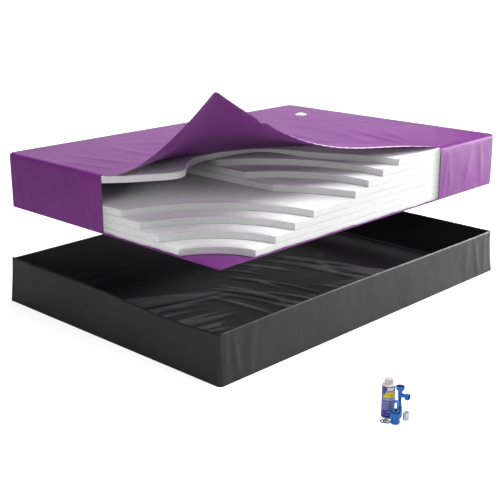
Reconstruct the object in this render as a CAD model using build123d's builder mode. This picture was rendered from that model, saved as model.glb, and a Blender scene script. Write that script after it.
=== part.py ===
"""A waterbed in its display arrangement: a stand-up safety liner, and above it the mattress with its near
corner cut away. The peeled corner of the top vinyl stands over eight stepped fibre sheets. The fill kit
stands beside the liner. The origin is on the floor under the middle of the liner, +Z is up and the head
of the bed is at +Y."""

import os
from math import comb, cos, pi, radians, sin

from build123d import *

# Driving dimensions in millimetres: the liner
liner_width = 1524.0
liner_length = 2134.0
liner_height = 230.0
liner_film = 3.0
liner_corner = 20.0
rim_lean = 19.0

# The mattress
side_clearance = 28.0
mattress_width = liner_width - 2 * side_clearance
mattress_length = liner_length - 2 * side_clearance
mattress_height = 270.0
mattress_film = 2.0
mattress_corner = 32.0
edge_round = 16.0
display_gap = 265.0
cut_from_middle = 0.0
cut_from_head = 519.0
soft_gap = 0.3
overrun = 20.0

half_width = mattress_width / 2
half_length = mattress_length / 2
mattress_bottom = liner_height + display_gap
mattress_top = mattress_bottom + mattress_height
cut_x = cut_from_middle
cut_y = half_length - cut_from_head

# The stack of fibre sheets
sheet_count = 8
full_sheets = 4
sheet_thickness = (mattress_height - 2 * mattress_film) / sheet_count
step_across_first = 243.0
step_along_first = 214.0
step_pitch = 122.0
step_sag_share = 0.66
lumbar_wall = -336.0
lumbar_reach_shares = [0.505, 0.265, 0.02]
lumbar_middle_x_shares = [0.74, 0.613, 0.49]
lumbar_middle_y_shares = [-0.225, -0.106, -0.019]
lumbar_end_y_shares = [-0.159, -0.066, 0.038]
top_sheet_edge_shares = [
    (0.0, -1.0), (0.084, -0.92), (0.165, -0.81), (0.222, -0.715), (0.19, -0.64), (0.075, -0.555),
    (0.005, -0.44), (0.01, -0.29), (0.11, -0.12), (0.3, -0.02), (0.55, 0.05), (0.8, 0.12), (1.0, 0.155),
]

# The peeled corner of the top vinyl, from the line where it leaves the sheets to its tip
peel_rise = 412.0
tip_from_middle = 576.0
tip_from_foot = 143.0
peel_left_power = 1.87
peel_line_shares = [(-0.15, -0.48), (-0.055, 0.058)]
peel_right_shares = [(0.95, 0.437, 0.317), (0.615, 0.3685, -0.172), (0.7045, 0.791, 0.606)]
peel_crown_powers = (1.1, 1.85)
peel_slack_power = 1.5
tip_round_share = 0.015

# The valve in the mattress top
valve_from_side = 304.0
valve_from_head = 242.0
flange_radius = 35.0
flange_thickness = 1.5
neck_radius = 17.0
neck_bore = 14.0
neck_above = 4.0
neck_below = 14.0
neck_step = 1.4
plug_seat_below = 4.0
plug_rise = 3.0
plug_nose_below = 12.0
plug_wall = 2.0
gasket_thickness = 1.2
cap_wall = 2.2
cap_skirt_gap = 0.4
grip_ribs = 30
grip_rib = 0.9
rib_end_share = 1.0
run_gap = 0.1

# The bottle of conditioner
bottle_radius = 25.5
bottle_body = 136.0
bottle_shoulder = 7.0
shoulder_steps = 3
bottle_neck_radius = 12.0
bottle_neck = 15.0
bottle_wall = 1.2
bottle_heel = 3.5
label_from_base = 7.0
label_height = 128.0
label_thickness = 0.3
seal_thickness = 0.4
liner_disc = 1.0
bottle_cap_radius = 15.7
bottle_cap_height = 17.4
bottle_cap_wall = 1.6
bottle_cap_ribs = 36
bottle_cap_rib = 0.5
neck_bead = 1.3

# The garden hose thread that the kit's pieces share, and the loose fit round it
hose_thread = 13.5
thread_clearance = 0.2

# The fill and drain pump
pump_height = 128.0
pump_bore = 5.5
pump_tube = 8.3
pump_waist = 6.8
pump_spigot = 7.4
pump_flange = 8.8
drain_collar_height = 41.0
o_ring_wire = 1.25
o_ring_sides = 6
flange_band = 4.0
waist_top = 78.0
waist_bottom = 60.0
branch_height = 94.0
branch_length = 40.0
branch_radius = 7.8
branch_collar_length = 12.0
branch_collar_floor = 2.5
branch_bore = 8.4
branch_turn = -42.0
nut_height = 18.0
nut_cone = 5.0
nut_body = 15.2
nut_rim = 17.2
nut_rim_height = 5.5
nut_floor = 2.6
nut_ear = 5.0
nut_ears = 4
retainer_radius = 12.4
retainer_clearance = 0.3
retainer_thickness = 1.5
washer_thickness = 2.5
washer_hole = 6.5
jet_mouth = 4.6
jet_tip = 2.4
jet_tip_bore = 1.5
jet_length = 22.0
collar_radius = 10.5
collar_lower_radius = 9.6
collar_step = 22.0
collar_ribs = 10
collar_rib = 1.1

# The mattress adapter
cage_radius = 12.4
cage_wall = 2.0
cage_height = 96.0
cage_window_bottom = 55.0
cage_window_width = 11.5
cage_window_top = 88.0
dome_steps = 3
cage_tube = 9.6
cage_tube_bore = 7.5
cage_shelf = 26.0
cage_flange = 14.0
cage_flange_thickness = 2.4
ring_height = 40.0
adapter_nut_radius = 19.7
adapter_nut_bore = 17.2
adapter_nut_top = 45.0
adapter_nut_floor = 2.0
adapter_lug = 2.2
adapter_lugs = 8
hose_collar_radius = 16.2
hose_collar_height = 21.3
hose_collar_depth = 12.0
foot_flange = 12.6
foot_flange_thickness = 1.8
fin_reach = 3.4
fin_thickness = 2.0
fins = 6

# The white threaded adapter and the loose hose washers
thread_lower = 12.6
thread_groove = 11.6
thread_bore = 9.6
thread_lower_height = 14.0
thread_groove_height = 2.5
thread_height = 30.0
loose_washer = 13.0
loose_washer_hole = 9.2
loose_washer_tilt = 10.0

# Where the fill kit stands: its middle on the floor, the way its row faces and each piece's place in it
kit_from_side = 679.4
kit_from_middle = -803.4
kit_turn = 43.68
kit_middle = (liner_width / 2 + kit_from_side, kit_from_middle)
bottle_place = (-24.2, 26.0)
pump_place = (20.3, 26.0)
adapter_place = (-2.4, -26.0)
thread_place = (44.6, 3.5)
flat_washer_place = (-45.6, -14.0)
leaning_washer_step = 12.2
leaning_washer_turn = -30.0

os.makedirs("parts", exist_ok=True)


def save(part, name):
    """Labels a finished piece and writes it to its own file."""
    part.label = name
    export_step(part, f"parts/{name}.step")


def kit_plane(place, height=0.0):
    """A level plane at a place in the kit's row, whose X runs along the row."""
    turn = radians(kit_turn)
    across, away = place
    x = kit_middle[0] + across * cos(turn) - away * sin(turn)
    y = kit_middle[1] + across * sin(turn) + away * cos(turn)
    return Plane(origin=(x, y, height), x_dir=(cos(turn), sin(turn), 0), z_dir=(0, 0, 1))


def side_on(plane, angle=0.0):
    """The upright plane through a level plane's origin at an angle to its row, for profiles."""
    way = plane.x_dir.rotate(Axis.Z, angle)
    return Plane(origin=plane.origin, x_dir=way, z_dir=way.cross(Vector(0, 0, 1)))


def turned(plane, outline):
    """The solid that an outline of (radius, height) points makes about a level plane's upright axis."""
    with BuildPart() as solid:
        with BuildSketch(side_on(plane)):
            with BuildLine():
                Polyline(*outline, close=True)
            make_face()
        revolve(axis=Axis(plane.origin, (0, 0, 1)))
    return solid.part


# The safety liner is a tray of film whose walls stand up and lean in a little at the rim.
with BuildPart() as liner_tray:
    with BuildSketch():
        RectangleRounded(liner_width, liner_length, liner_corner)
    with BuildSketch(Plane.XY.offset(liner_height)):
        RectangleRounded(liner_width - 2 * rim_lean, liner_length - 2 * rim_lean, liner_corner)
    loft()

lean_per_height = rim_lean / liner_height


def liner_inside_size(height):
    """Width and length of the space inside the liner at a height."""
    inset = liner_film + lean_per_height * height
    return liner_width - 2 * inset, liner_length - 2 * inset


with BuildPart() as liner_space:
    for height in (liner_film, liner_height + overrun):
        with BuildSketch(Plane.XY.offset(height)):
            RectangleRounded(*liner_inside_size(height), liner_corner - liner_film)
    loft()

with BuildPart() as liner_floor:
    add(liner_tray.part)
    split(bisect_by=Plane.XY.offset(liner_film), keep=Keep.BOTTOM)
save(liner_floor.part, "liner_floor")

# The walls are straight and meet in rounded, welded corners. The plan of a corner reaches in past its round
# and past the lean of the walls.
corner_reach = liner_corner + rim_lean
straight_x, straight_y = liner_width / 2 - corner_reach, liner_length / 2 - corner_reach
wall_regions = {
    "wall_left": (-straight_x - corner_reach, 0, corner_reach, straight_y),
    "wall_right": (straight_x + corner_reach, 0, corner_reach, straight_y),
    "wall_foot": (0, -straight_y - corner_reach, straight_x, corner_reach),
    "wall_head": (0, straight_y + corner_reach, straight_x, corner_reach),
    "corner_foot_left": (-straight_x - corner_reach, -straight_y - corner_reach, corner_reach, corner_reach),
    "corner_foot_right": (straight_x + corner_reach, -straight_y - corner_reach, corner_reach, corner_reach),
    "corner_head_left": (-straight_x - corner_reach, straight_y + corner_reach, corner_reach, corner_reach),
    "corner_head_right": (straight_x + corner_reach, straight_y + corner_reach, corner_reach, corner_reach),
}
for piece, (middle_x, middle_y, reach_x, reach_y) in wall_regions.items():
    with BuildPart() as liner_piece:
        add(liner_tray.part)
        add(liner_space.part, mode=Mode.SUBTRACT)
        with BuildSketch(Plane.XY.offset(liner_film)):
            with Locations((middle_x, middle_y)):
                Rectangle(2 * reach_x, 2 * reach_y)
        extrude(amount=liner_height, mode=Mode.INTERSECT)
    save(liner_piece.part, f"liner_{piece}")


# The mattress bag: a bottom sheet, side bands that round over into the top, and the top sheet.
with BuildPart() as vinyl_bottom:
    with BuildSketch(Plane.XY.offset(mattress_bottom)):
        RectangleRounded(mattress_width, mattress_length, mattress_corner)
        with Locations((half_width - mattress_corner / 2, mattress_corner / 2 - half_length)):
            Rectangle(mattress_corner, mattress_corner)
    extrude(amount=mattress_film)
save(vinyl_bottom.part, "vinyl_bottom")


def rounded_block(inset, bottom, top):
    """A block with the mattress's plan, set in all round, with its top edges rounded."""
    with BuildPart() as block:
        with BuildSketch(Plane.XY.offset(bottom)):
            RectangleRounded(mattress_width - 2 * inset, mattress_length - 2 * inset, mattress_corner - inset)
        extrude(amount=top - bottom)
        fillet(block.faces().sort_by(Axis.Z)[-1].edges(), edge_round - inset)
    return block.part


band_bottom = mattress_bottom + mattress_film
top_underside = mattress_top - mattress_film
with BuildPart() as band_ring:
    add(rounded_block(0, band_bottom, mattress_top))
    add(rounded_block(mattress_film, band_bottom, top_underside), mode=Mode.SUBTRACT)
    with BuildSketch(Plane.XY.offset(top_underside)):
        RectangleRounded(
            mattress_width - 2 * edge_round, mattress_length - 2 * edge_round, mattress_corner - edge_round
        )
    extrude(amount=mattress_film, mode=Mode.SUBTRACT)

# The bands are straight walls with rounded corners between them, and their edge rolls over into the top.
far_x, far_y = half_width + overrun, half_length + overrun
band_x, band_y = half_width - mattress_corner, half_length - mattress_corner
band_regions = {
    "left": (-far_x, -band_y, -band_x, band_y),
    "head": (-band_x, band_y, band_x, far_y),
    "right": (band_x, cut_y, far_x, band_y),
    "foot": (-band_x, -far_y, cut_x, -band_y),
    "foot_left": (-far_x, -far_y, -band_x, -band_y),
    "head_left": (-far_x, band_y, -band_x, far_y),
    "head_right": (band_x, band_y, far_x, far_y),
}
edge_bottom = mattress_top - edge_round
for kind, bottom, top in [("side_band", band_bottom, edge_bottom), ("top_edge", edge_bottom, mattress_top)]:
    for side, (low_x, low_y, high_x, high_y) in band_regions.items():
        with BuildPart() as band:
            add(band_ring.part)
            with BuildSketch(Plane.XY.offset(bottom)):
                with Locations(((low_x + high_x) / 2, (low_y + high_y) / 2)):
                    Rectangle(high_x - low_x, high_y - low_y)
            extrude(amount=top - bottom, mode=Mode.INTERSECT)
        save(band.part, f"{kind}_{side}")

# The line along which the peeled corner leaves the sheets, from one cut in the side bands to the other.
peel_start = (cut_x, edge_round - half_length)
peel_end = (half_width - edge_round, cut_y)
peel_line = [peel_start, *[(x * half_width, y * half_length) for x, y in peel_line_shares], peel_end]


def bezier_point(controls, t):
    """The point at share t of a Bezier curve with these control points."""
    n = len(controls) - 1
    weights = [comb(n, i) * (1 - t) ** (n - i) * t**i for i in range(n + 1)]
    return sum((Vector(*c) * w for c, w in zip(controls, weights)), Vector(0, 0, 0))


tip_y = tip_from_foot - half_length
peel_span = cut_y - tip_y
peel_right = [
    (peel_end[0], cut_y, 0),
    *[(x * half_width, cut_y - y * peel_span, z * peel_rise) for x, y, z in peel_right_shares],
    (tip_from_middle, tip_y, peel_rise),
]


def peel_point(s, w):
    """A point of the peeled sheet's underside. Share s runs from the line on the sheets to the tip, and w
    from the left edge to the right. The left edge is a power curve and the right one a Bezier curve. Between
    them a section runs straight near the tip, sags out to the peel line at the start and crowns upwards."""
    left = Vector(
        cut_x + s * (tip_from_middle - cut_x),
        peel_start[1] + s * s * (tip_y - peel_start[1]),
        peel_rise * s**peel_left_power,
    )
    straight = left * (1 - w) + bezier_point(peel_right, s) * w
    first = Vector(*peel_start) * (1 - w) + Vector(*peel_end) * w
    slack = (bezier_point([(*p, 0) for p in peel_line], w) - first) * (1 - s) ** peel_slack_power
    crown = peel_rise * (s ** peel_crown_powers[0] - s ** peel_crown_powers[1]) * sin(pi * w) ** 2
    seam = Vector(-soft_gap, soft_gap, 0)
    return straight + slack + seam + Vector(0, 0, top_underside + crown)


peel_rows, peel_columns = 8, 10
peel_grid = [
    [peel_point(s * (1 - tip_round_share) / peel_rows, w / peel_columns) for w in range(peel_columns + 1)]
    for s in range(peel_rows + 1)
]

valve_x = valve_from_side - half_width
valve_y = half_length - valve_from_head
with BuildPart() as vinyl_top:
    with BuildSketch(Plane.XY.offset(top_underside)):
        RectangleRounded(
            mattress_width - 2 * edge_round, mattress_length - 2 * edge_round, mattress_corner - edge_round
        )
        with BuildLine():
            Bezier(*peel_line)
            Polyline(peel_end, (far_x, cut_y), (far_x, -far_y), (cut_x, -far_y), peel_start)
        make_face(mode=Mode.SUBTRACT)
        with Locations((valve_x, valve_y)):
            Circle(neck_radius + run_gap, mode=Mode.SUBTRACT)
    extrude(amount=mattress_film)
    extrude(Face.make_surface_from_array_of_points(peel_grid), amount=mattress_film, dir=(0, 0, 1))
save(vinyl_top.part, "vinyl_top")


# The fibre sheets lie face on face. The lower ones stop at arcs round the cut corner.
sheet_inset = mattress_film + soft_gap
sheet_x, sheet_y = half_width - sheet_inset, half_length - sheet_inset
sheet_corner = mattress_corner - sheet_inset


def sheet_level(number):
    """The height of the underside of a sheet, counted from 0."""
    return band_bottom + number * sheet_thickness


for number in range(full_sheets):
    across = step_across_first + number * step_pitch
    along = step_along_first + number * step_pitch
    arc_start = (half_width - across, -half_length)
    arc_middle = (half_width - step_sag_share * across, step_sag_share * along - half_length)
    arc_end = (half_width, along - half_length)
    with BuildPart() as fibre_sheet:
        with BuildSketch(Plane.XY.offset(sheet_level(number))):
            RectangleRounded(2 * sheet_x, 2 * sheet_y, sheet_corner)
            with BuildLine():
                ThreePointArc(arc_start, arc_middle, arc_end)
                Polyline(arc_end, (far_x, arc_end[1]), (far_x, -far_y), (arc_start[0], -far_y), arc_start)
            make_face(mode=Mode.SUBTRACT)
        extrude(amount=sheet_thickness)
    save(fibre_sheet.part, f"fibre_sheet_{number + 1}")

# Three more make the lumbar block. Its wall runs across the bed, and each one steps back along a curve.
for step in range(sheet_count - full_sheets - 1):
    number = full_sheets + step
    reach = lumbar_reach_shares[step] * half_width
    middle = (lumbar_middle_x_shares[step] * half_width, lumbar_middle_y_shares[step] * half_length)
    end = (half_width, lumbar_end_y_shares[step] * half_length)
    with BuildPart() as fibre_sheet:
        with BuildSketch(Plane.XY.offset(sheet_level(number))):
            RectangleRounded(2 * sheet_x, 2 * sheet_y, sheet_corner)
            with BuildLine():
                ThreePointArc((reach, lumbar_wall), middle, end)
                Polyline(end, (far_x, end[1]), (far_x, -far_y), (-far_x, -far_y), (-far_x, lumbar_wall))
                Line((-far_x, lumbar_wall), (reach, lumbar_wall))
            make_face(mode=Mode.SUBTRACT)
        extrude(amount=sheet_thickness)
    save(fibre_sheet.part, f"fibre_sheet_{number + 1}")

# The last sheet lies over them all, bridges the space at the foot and has a lobe beside the cut.
edge_points = [(x * half_width, y * half_length) for x, y in top_sheet_edge_shares]
edge_start, edge_end = edge_points[0], edge_points[-1]
with BuildPart() as fibre_sheet:
    add(rounded_block(sheet_inset, sheet_level(sheet_count - 1), top_underside))
    with BuildSketch(Plane.XY.offset(sheet_level(sheet_count - 1))):
        with BuildLine():
            Spline(*edge_points)
            Polyline(edge_end, (far_x, edge_end[1]), (far_x, -far_y), (cut_x, -far_y), edge_start)
        make_face()
        with Locations((valve_x, valve_y)):
            Circle(neck_radius + overrun / 2)
    extrude(amount=sheet_thickness, mode=Mode.SUBTRACT)
save(fibre_sheet.part, f"fibre_sheet_{sheet_count}")


# The valve: a flanged neck welded into the top, a stopper in it, and a screw cap with a gasket.
valve = Plane.XY.offset(mattress_top).move(Location((valve_x, valve_y, 0)))
neck = turned(valve, [
    (neck_bore, -plug_seat_below),
    (neck_bore - neck_step, -plug_seat_below),
    (neck_bore - neck_step, -neck_below),
    (neck_radius, -neck_below),
    (neck_radius, 0),
    (flange_radius, 0),
    (flange_radius, flange_thickness / 2),
    (neck_radius, flange_thickness),
    (neck_radius, neck_above),
    (neck_bore, neck_above),
])
save(neck, "valve_neck")

plug_radius = neck_bore - run_gap
plug_nose = neck_bore - neck_step - run_gap
plug = turned(valve, [
    (0, -plug_nose_below),
    (plug_nose, -plug_nose_below),
    (plug_nose, -plug_seat_below),
    (plug_radius, -plug_seat_below),
    (plug_radius, plug_rise),
    (plug_radius - plug_wall, plug_rise),
    (plug_radius - plug_wall, 0),
    (plug_wall, 0),
    (plug_wall, plug_rise),
    (0, plug_rise),
])
save(plug, "valve_plug")

gasket = turned(valve, [
    (0, neck_above),
    (neck_radius, neck_above),
    (neck_radius, neck_above + gasket_thickness),
    (0, neck_above + gasket_thickness),
])
save(gasket, "valve_gasket")


def screw_cap(plane, bore, wall, underside, skirt_bottom, ribs, rib):
    """A screw cap about a plane's axis, with a row of upright grip ribs round its skirt."""
    outside = bore + wall
    top = underside + wall
    with BuildPart() as cap:
        with BuildSketch(side_on(plane)):
            with BuildLine():
                Polyline(
                    (0, underside), (bore, underside), (bore, skirt_bottom), (outside, skirt_bottom),
                    (outside, top - rib), (outside - rib, top), (0, top), close=True,
                )
            make_face()
        revolve(axis=Axis(plane.origin, (0, 0, 1)))
        rib_end = rib_end_share * rib
        with BuildSketch(plane.offset(skirt_bottom + rib_end)):
            with PolarLocations(outside, ribs):
                RegularPolygon(rib, 3)
        extrude(amount=top - skirt_bottom - rib - 2 * rib_end)
    return cap.part


cap_bore = neck_radius + cap_skirt_gap
cap_underside = neck_above + gasket_thickness
cap_bottom = flange_thickness + soft_gap
valve_cap = screw_cap(valve, cap_bore, cap_wall, cap_underside, cap_bottom, grip_ribs, grip_rib)
save(valve_cap, "valve_cap")


def quarter_turns(steps):
    """The angles that share a quarter turn into equal steps, for arcs drawn as chords."""
    return [pi / 2 * step / steps for step in range(steps + 1)]


# The bottle is blown plastic, closed by a seal, with a ribbed screw cap that has a foam disc inside.
bottle = kit_plane(bottle_place)
shoulder_top = bottle_body + bottle_shoulder
bottle_top = shoulder_top + bottle_neck
bottle_inside = bottle_radius - 2 * bottle_wall
neck_inside = bottle_neck_radius - bottle_wall
shoulder_reach = bottle_radius - bottle_neck_radius
shoulder = [
    (bottle_neck_radius + shoulder_reach * cos(angle), bottle_body + bottle_shoulder * sin(angle))
    for angle in quarter_turns(shoulder_steps)[:-1]
]
with BuildPart() as bottle_body_part:
    with BuildSketch(side_on(bottle)):
        with BuildLine():
            Polyline(
                (0, 0), (bottle_radius - bottle_heel, 0), (bottle_radius, bottle_heel), *shoulder,
                (bottle_neck_radius + neck_bead, shoulder_top),
                (bottle_neck_radius, shoulder_top + neck_bead),
                (bottle_neck_radius, bottle_top), (neck_inside, bottle_top), (neck_inside, bottle_body),
                (bottle_inside, bottle_body - bottle_wall), (bottle_inside, bottle_heel), (0, bottle_heel),
                close=True,
            )
        make_face()
    revolve(axis=Axis(bottle.origin, (0, 0, 1)))
save(bottle_body_part.part, "bottle_body")

label_top = label_from_base + label_height
save(turned(bottle, [
    (bottle_radius, label_from_base),
    (bottle_radius + label_thickness, label_from_base),
    (bottle_radius + label_thickness, label_top),
    (bottle_radius, label_top),
]), "bottle_label")

save(turned(bottle, [
    (0, bottle_top),
    (bottle_neck_radius, bottle_top),
    (bottle_neck_radius, bottle_top + seal_thickness),
    (0, bottle_top + seal_thickness),
]), "bottle_seal")

disc_bottom = bottle_top + seal_thickness
disc_top = disc_bottom + liner_disc
bottle_cap_bore = bottle_cap_radius - bottle_cap_wall
disc_radius = bottle_cap_bore - soft_gap
save(turned(bottle, [
    (0, disc_bottom), (disc_radius, disc_bottom), (disc_radius, disc_top), (0, disc_top)
]), "bottle_cap_disc")

bottle_cap = screw_cap(
    bottle, bottle_cap_bore, bottle_cap_wall, disc_top, disc_top + bottle_cap_wall - bottle_cap_height,
    bottle_cap_ribs, bottle_cap_rib,
)
save(bottle_cap, "bottle_cap")


# The pump is a tee: the tap feeds a jet at the top, the branch takes the hose, and the foot drains.
pump = kit_plane(pump_place)
nut_bottom = pump_height - nut_height
retainer_bottom = nut_bottom + nut_cone + nut_floor
retainer_top = retainer_bottom + retainer_thickness
o_ring_middle = drain_collar_height + soft_gap + o_ring_wire
flange_bottom = o_ring_middle + o_ring_wire + soft_gap
flange_top = flange_bottom + flange_band
turn = radians(kit_turn + branch_turn)
branch_way = Vector(cos(turn), sin(turn), 0)
branch_root = pump.origin + Vector(0, 0, branch_height)
branch_plane = Plane(origin=branch_root, x_dir=(0, 0, 1), z_dir=branch_way)
with BuildPart() as pump_body:
    with BuildSketch(side_on(pump)):
        with BuildLine():
            Polyline(
                (0, collar_rib), (pump_spigot, collar_rib), (pump_spigot, flange_bottom),
                (pump_flange, flange_bottom), (pump_flange, flange_top), (pump_waist, waist_bottom),
                (pump_waist, waist_top), (pump_tube, waist_top + nut_cone), (pump_tube, retainer_bottom),
                (retainer_radius, retainer_bottom), (retainer_radius, retainer_top), (0, retainer_top),
                close=True,
            )
        make_face()
    revolve(axis=Axis(pump.origin, (0, 0, 1)))
    with BuildSketch(branch_plane):
        Circle(branch_radius)
    extrude(amount=branch_length)
    with BuildSketch(branch_plane.offset(branch_length - branch_collar_length)):
        Circle(hose_thread)
    extrude(amount=branch_collar_length)
    rounds = pump_body.edges().filter_by(GeomType.CIRCLE)
    chamfer(rounds.filter_by(lambda edge: abs(edge.radius - hose_thread) < run_gap), collar_rib)
    with BuildSketch(branch_plane):
        Circle(pump_bore)
    extrude(amount=branch_length, mode=Mode.SUBTRACT)
    with BuildSketch(branch_plane.offset(branch_length - branch_collar_length + branch_collar_floor)):
        Circle(branch_bore)
    extrude(amount=branch_collar_length, mode=Mode.SUBTRACT)
    with BuildSketch(pump):
        Circle(pump_bore)
    extrude(amount=pump_height, mode=Mode.SUBTRACT)
save(pump_body.part, "pump_body")

save(turned(pump, [
    (pump_bore, retainer_top),
    (pump_bore, retainer_top - jet_length / 2),
    (jet_tip, retainer_top - jet_length),
    (jet_tip_bore, retainer_top - jet_length),
    (jet_mouth, retainer_top - jet_length / 2),
    (jet_mouth, retainer_top),
]), "pump_jet")

with BuildPart() as pump_o_ring:
    with BuildSketch(side_on(pump)):
        with Locations((pump_spigot + o_ring_wire, o_ring_middle)):
            RegularPolygon(o_ring_wire, o_ring_sides)
    revolve(axis=Axis(pump.origin, (0, 0, 1)))
save(pump_o_ring.part, "pump_o_ring")

rim_bottom = pump_height - nut_rim_height
tap_washer_top = retainer_top + washer_thickness
hose_bore = hose_thread + thread_clearance
with BuildPart() as pump_tap_nut:
    with BuildSketch(side_on(pump)):
        with BuildLine():
            Polyline(
                (pump_tube + run_gap, nut_bottom), (pump_tube + nut_floor, nut_bottom),
                (nut_body, nut_bottom + nut_cone), (nut_body, rim_bottom - nut_floor / 2),
                (nut_rim, rim_bottom), (nut_rim, pump_height), (hose_bore, pump_height),
                (hose_bore, tap_washer_top),
                (retainer_radius + retainer_clearance, tap_washer_top),
                (retainer_radius + retainer_clearance, retainer_bottom - run_gap),
                (pump_tube + run_gap, retainer_bottom - run_gap), close=True,
            )
        make_face()
    revolve(axis=Axis(pump.origin, (0, 0, 1)))
    with BuildSketch(pump.offset(rim_bottom)):
        with PolarLocations(nut_rim, nut_ears, start_angle=branch_turn):
            Rectangle(nut_ear / 2, nut_ear)
    extrude(amount=nut_rim_height)
save(pump_tap_nut.part, "pump_tap_nut")

save(turned(pump, [
    (washer_hole, retainer_top),
    (retainer_radius, retainer_top),
    (retainer_radius, tap_washer_top),
    (washer_hole, tap_washer_top),
]), "pump_tap_washer")

with BuildPart() as pump_drain_collar:
    with BuildSketch(side_on(pump)):
        with BuildLine():
            Polyline(
                (pump_spigot + run_gap, 0), (collar_lower_radius, 0), (collar_lower_radius, collar_step),
                (collar_radius, collar_step + collar_rib), (collar_radius, drain_collar_height - collar_rib),
                (collar_radius - collar_rib, drain_collar_height),
                (pump_spigot + run_gap, drain_collar_height), close=True,
            )
        make_face()
    revolve(axis=Axis(pump.origin, (0, 0, 1)))
    with BuildSketch(pump.offset(collar_rib)):
        with PolarLocations(collar_lower_radius, collar_ribs):
            Rectangle(collar_rib * 2, collar_rib * 2)
    extrude(amount=collar_step - 2 * collar_rib)
save(pump_drain_collar.part, "pump_drain_collar")


# The mattress adapter: a caged tube that goes into the valve neck, a nut for the neck and a hose collar.
adapter = kit_plane(adapter_place)
dome_start = cage_height - cage_radius
cage_flange_bottom = cage_shelf - cage_flange_thickness
nut_floor_top = cage_flange_bottom - run_gap
nut_floor_bottom = nut_floor_top - adapter_nut_floor
inner_cage = cage_radius - cage_wall
foot_flange_top = hose_collar_depth - run_gap
foot_flange_bottom = foot_flange_top - foot_flange_thickness
washer_bottom = foot_flange_bottom - washer_thickness


def dome_outline(radius):
    """Points of a dome's outline from its edge to its crown, in steps that are chords of a quarter circle."""
    return [(radius * cos(angle), dome_start + radius * sin(angle)) for angle in quarter_turns(dome_steps)]


with BuildPart() as adapter_cage:
    with BuildSketch(side_on(adapter)):
        with BuildLine():
            Polyline(
                (cage_tube_bore, foot_flange_bottom), (foot_flange, foot_flange_bottom),
                (foot_flange, foot_flange_top), (cage_tube, foot_flange_top),
                (cage_tube, cage_flange_bottom), (cage_flange, cage_flange_bottom),
                (cage_flange, cage_shelf), (cage_radius, cage_shelf), *dome_outline(cage_radius),
                *reversed(dome_outline(inner_cage)), (inner_cage, cage_shelf),
                (cage_tube_bore, cage_shelf - cage_wall), close=True,
            )
        make_face()
    revolve(axis=Axis(adapter.origin, (0, 0, 1)))
    with BuildSketch(adapter.offset(cage_window_bottom)):
        Rectangle(2 * cage_radius + overrun, cage_window_width)
        Rectangle(cage_window_width, 2 * cage_radius + overrun)
    extrude(amount=cage_window_top - cage_window_bottom, mode=Mode.SUBTRACT)
save(adapter_cage.part, "adapter_cage")

with BuildPart() as adapter_nut:
    with BuildSketch(side_on(adapter)):
        with BuildLine():
            Polyline(
                (cage_tube + run_gap, nut_floor_bottom), (adapter_nut_bore, nut_floor_bottom),
                (adapter_nut_radius, nut_floor_bottom + adapter_lug), (adapter_nut_radius, adapter_nut_top),
                (adapter_nut_bore, adapter_nut_top), (adapter_nut_bore, nut_floor_top),
                (cage_tube + run_gap, nut_floor_top), close=True,
            )
        make_face()
    revolve(axis=Axis(adapter.origin, (0, 0, 1)))
    with BuildSketch(adapter.offset(nut_floor_bottom + adapter_lug)):
        with PolarLocations(adapter_nut_radius, adapter_lugs):
            Rectangle(adapter_lug, 2 * adapter_lug)
    extrude(amount=adapter_nut_top - nut_floor_bottom - 2 * adapter_lug)
save(adapter_nut.part, "adapter_nut")

with BuildPart() as adapter_o_ring:
    with BuildSketch(side_on(adapter)):
        with Locations((cage_radius + o_ring_wire, ring_height)):
            RegularPolygon(o_ring_wire, o_ring_sides)
    revolve(axis=Axis(adapter.origin, (0, 0, 1)))
save(adapter_o_ring.part, "adapter_o_ring")

with BuildPart() as adapter_hose_collar:
    with BuildSketch(side_on(adapter)):
        with BuildLine():
            Polyline(
                (hose_bore, 0), (hose_collar_radius, 0),
                (hose_collar_radius, hose_collar_height - fin_reach),
                (hose_collar_radius - fin_reach, hose_collar_height),
                (cage_tube + run_gap, hose_collar_height), (cage_tube + run_gap, hose_collar_depth),
                (foot_flange + retainer_clearance, hose_collar_depth),
                (foot_flange + retainer_clearance, washer_bottom), (hose_bore, washer_bottom), close=True,
            )
        make_face()
    revolve(axis=Axis(adapter.origin, (0, 0, 1)))
    for fin in range(fins):
        with BuildSketch(side_on(adapter, 360 * fin / fins)):
            with BuildLine():
                Polyline(
                    (hose_collar_radius - fin_thickness / 2, 0), (hose_collar_radius + fin_reach, 0),
                    (hose_collar_radius + fin_thickness / 2, hose_collar_depth),
                    (hose_collar_radius - fin_thickness / 2, hose_collar_depth), close=True,
                )
            make_face()
        extrude(amount=fin_thickness / 2, both=True)
save(adapter_hose_collar.part, "adapter_hose_collar")

save(turned(adapter, [
    (cage_tube_bore, washer_bottom),
    (foot_flange, washer_bottom),
    (foot_flange, foot_flange_bottom),
    (cage_tube_bore, foot_flange_bottom),
]), "adapter_washer")


# The white adapter has a smaller thread below its groove and a larger one above.
groove_top = thread_lower_height + thread_groove_height
save(turned(kit_plane(thread_place), [
    (thread_bore, 0),
    (thread_lower, 0),
    (thread_lower, thread_lower_height),
    (thread_groove, thread_lower_height),
    (thread_groove, groove_top),
    (hose_thread, groove_top),
    (hose_thread, thread_height),
    (thread_bore, thread_height),
]), "thread_adapter")

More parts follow.
